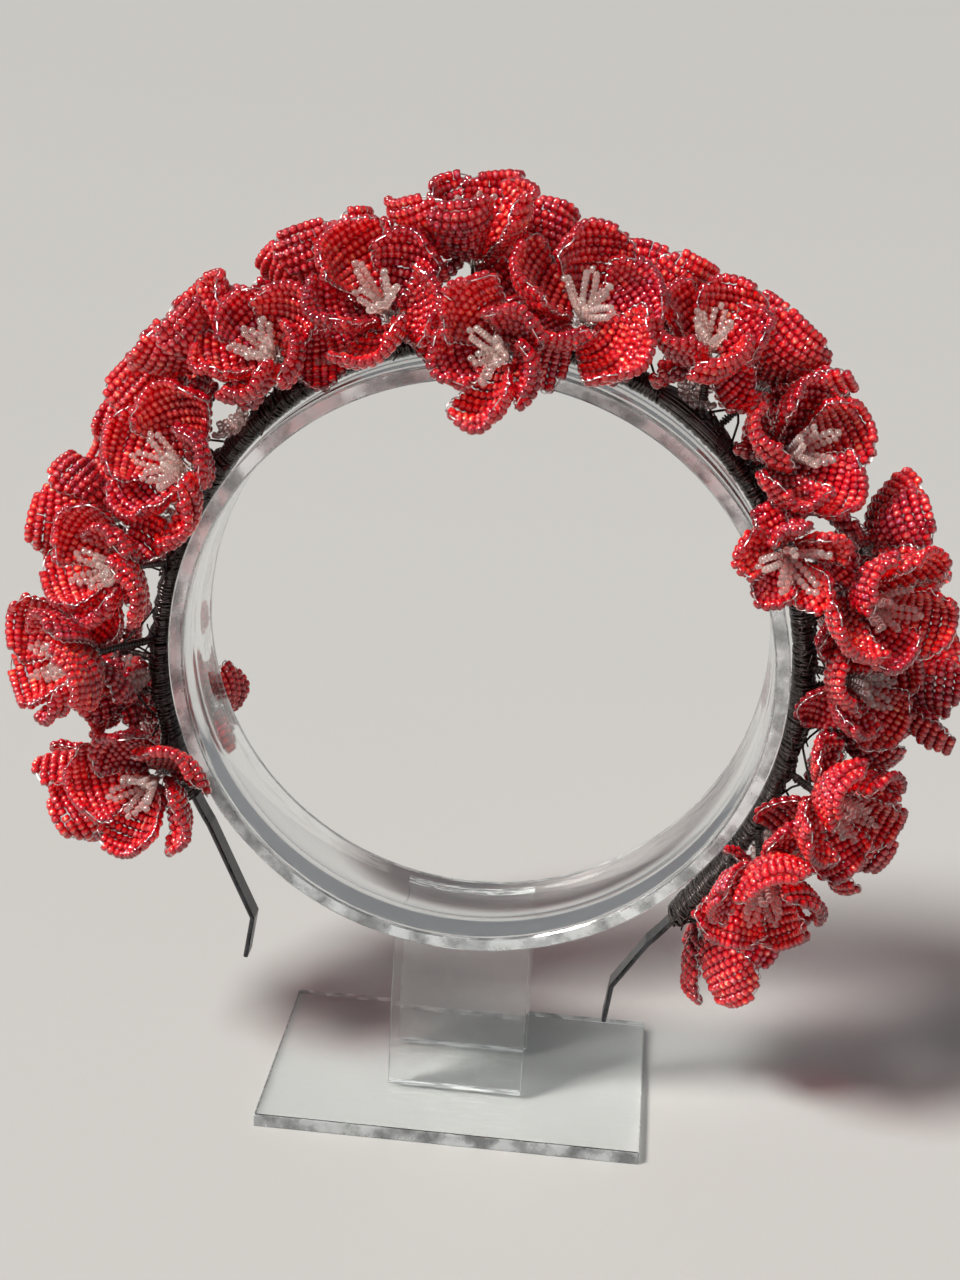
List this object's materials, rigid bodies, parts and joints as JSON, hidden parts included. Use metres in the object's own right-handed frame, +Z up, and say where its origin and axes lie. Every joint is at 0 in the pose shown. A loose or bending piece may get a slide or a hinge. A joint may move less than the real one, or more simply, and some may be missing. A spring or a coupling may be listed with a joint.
{
  "type": "beaded headband on display stand",
  "caption": "Wire-wound steel headband covered in red seed-bead flowers with clear bead stamens, shown round a clear tube on a flat clear stand.",
  "frame": {"origin": "centre of the underside of the stand's base plate", "axes": "+Z up, -Y the front that the picture shows, +X to the viewer's right"},
  "size_m": [0.1926, 0.0651, 0.198],
  "materials": {
    "acrylic": "clear polished acrylic sheet and tube, with fine scratches and sawn matt rims",
    "band": "springy flat steel band, smooth black, satin",
    "wire": "thin black enamelled wire in close uneven turns, glossy",
    "ruby_beads": "silver-lined ruby glass seed beads strung in rows on thin wire",
    "clear_beads": "clear, faintly pink glass seed beads in small loops"
  },
  "bodies": {
    "root": {"back_cradle": "acrylic", "display_base": "acrylic", "display_ring": "acrylic", "flower_01": "ruby_beads", "flower_02": "ruby_beads", "flower_03": "ruby_beads", "flower_04": "ruby_beads", "flower_05": "ruby_beads", "flower_06": "ruby_beads", "flower_07": "ruby_beads", "flower_08": "ruby_beads", "flower_09": "ruby_beads", "flower_10": "ruby_beads", "flower_11": "ruby_beads", "flower_12": "ruby_beads", "flower_13": "ruby_beads", "flower_14": "ruby_beads", "flower_15": "ruby_beads", "flower_16": "ruby_beads", "flower_17": "ruby_beads", "flower_18": "ruby_beads", "flower_19": "ruby_beads", "flower_20": "ruby_beads", "flower_21": "ruby_beads", "flower_22": "ruby_beads", "flower_23": "ruby_beads", "flower_24": "ruby_beads", "flower_25": "ruby_beads", "flower_26": "ruby_beads", "flower_27": "ruby_beads", "flower_28": "ruby_beads", "flower_29": "ruby_beads", "flower_30": "ruby_beads", "flower_31": "ruby_beads", "flower_32": "ruby_beads", "flower_33": "ruby_beads", "flower_34": "ruby_beads", "flower_35": "ruby_beads", "front_cradle": "acrylic", "metal_band": "band", "stamens_01": "clear_beads", "stamens_05": "clear_beads", "stamens_06": "clear_beads", "stamens_08": "clear_beads", "stamens_10": "clear_beads", "stamens_12": "clear_beads", "stamens_14": "clear_beads", "stamens_15": "clear_beads", "stamens_16": "clear_beads", "stamens_18": "clear_beads", "stamens_20": "clear_beads", "stamens_22": "clear_beads", "stamens_24": "clear_beads", "stamens_26": "clear_beads", "stamens_28": "clear_beads", "stamens_30": "clear_beads", "stamens_32": "clear_beads", "wire_wrap": "wire"}
  },
  "joints": []
}
